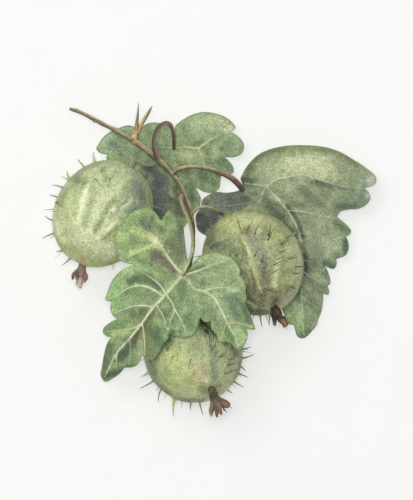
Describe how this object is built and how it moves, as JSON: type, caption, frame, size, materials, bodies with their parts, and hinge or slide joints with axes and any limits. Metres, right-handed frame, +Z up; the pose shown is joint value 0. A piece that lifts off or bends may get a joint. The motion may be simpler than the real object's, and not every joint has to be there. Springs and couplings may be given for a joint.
{
  "type": "gooseberry sprig",
  "caption": "Cut sprig of green gooseberries with bristly fruit, dried calyxes, lobed toothed leaves and a spiny twig, lying on a surface.",
  "frame": {"origin": "middle of the sprig's bounding box, on the surface that the sprig lies on", "axes": "+Z up from that surface; seen from above with the twig's cut end at the upper left, +X points right and +Y away"},
  "size_m": [0.0836, 0.0789, 0.0281],
  "materials": {
    "bark": "matte",
    "petiole_brown": "matte",
    "petiole_green": "satin",
    "leaf": "matte",
    "fruit_stalk": "matte",
    "berry_skin": "satin",
    "dry_flower": "matte"
  },
  "bodies": {
    "root": {"twig": "bark", "petiole_top": "petiole_brown", "petiole_right": "petiole_brown", "petiole_front": "petiole_green", "leaf_top": "leaf", "leaf_right": "leaf", "leaf_front": "leaf", "fruit_stalk_left": "fruit_stalk", "fruit_stalk_right": "fruit_stalk", "fruit_stalk_bottom": "fruit_stalk", "berry_left": "berry_skin", "berry_right": "berry_skin", "berry_bottom": "berry_skin", "calyx_left": "dry_flower", "calyx_right": "dry_flower", "calyx_bottom": "dry_flower"}
  },
  "joints": []
}
